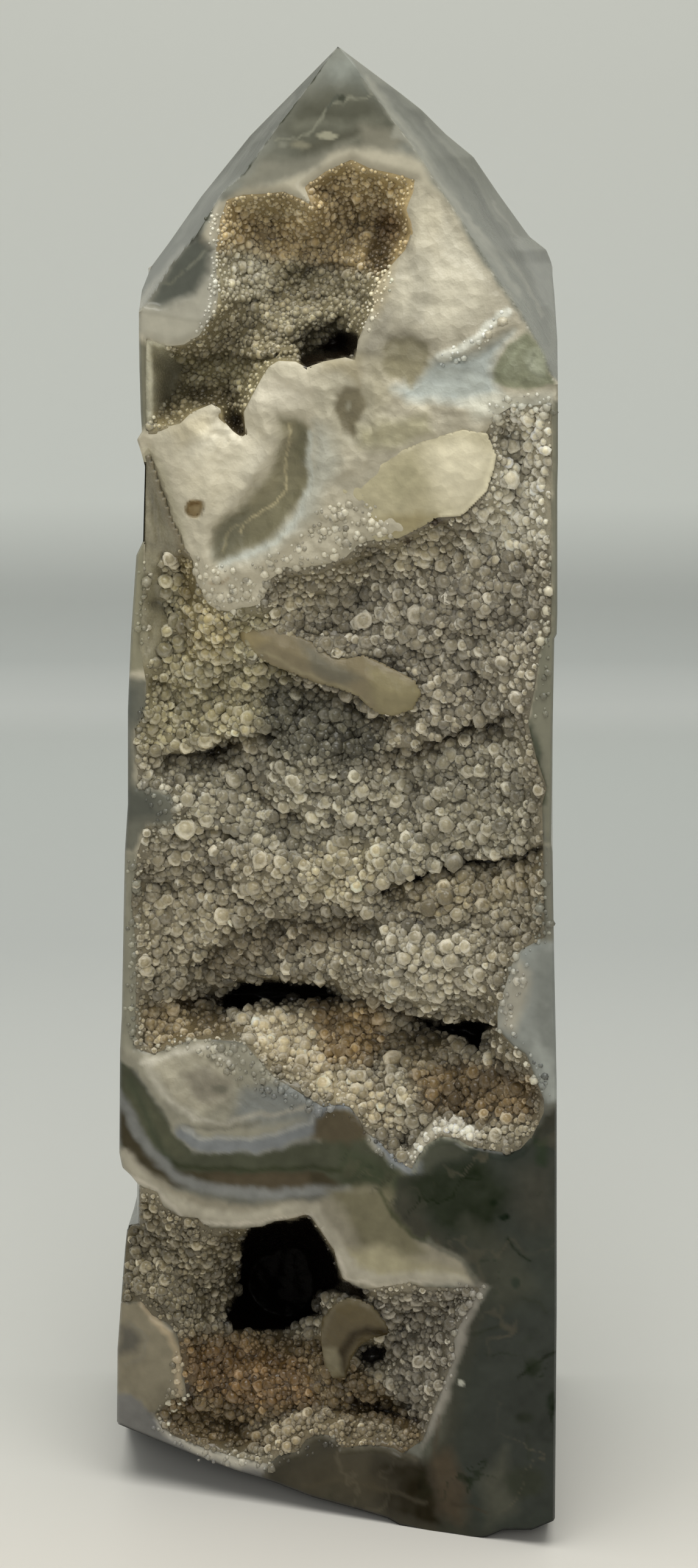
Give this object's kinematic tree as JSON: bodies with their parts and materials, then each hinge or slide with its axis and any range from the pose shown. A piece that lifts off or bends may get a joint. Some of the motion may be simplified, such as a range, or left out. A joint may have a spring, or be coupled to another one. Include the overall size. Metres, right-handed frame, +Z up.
{
  "type": "druzy moss agate tower",
  "caption": "Polished four-sided agate point that stands on its flat foot, its front open in hollows lined with small druzy crystals, with moss and banded agate between them.",
  "frame": {"origin": "middle of the foot, on the plane the tower stands on", "axes": "+Z up along the tower; -Y is the front, with the druzy hollows; +X to the right as seen from the front"},
  "size_m": [0.0375, 0.0339, 0.1227],
  "materials": {
    "polished_agate": "polished moss agate, grey-green with cream bands",
    "upper_crystals": "sugary druzy quartz, stained tan at the top",
    "middle_crystals": "frosted round druzy crystals, grey to pale tan",
    "pocket_crystals": "frosted round druzy crystals, stained tan and orange"
  },
  "bodies": {
    "root": {"tower": "polished_agate", "upper_hollow_crust": "upper_crystals", "middle_hollow_crust": "middle_crystals", "lower_pocket_crust": "pocket_crystals"}
  },
  "joints": []
}
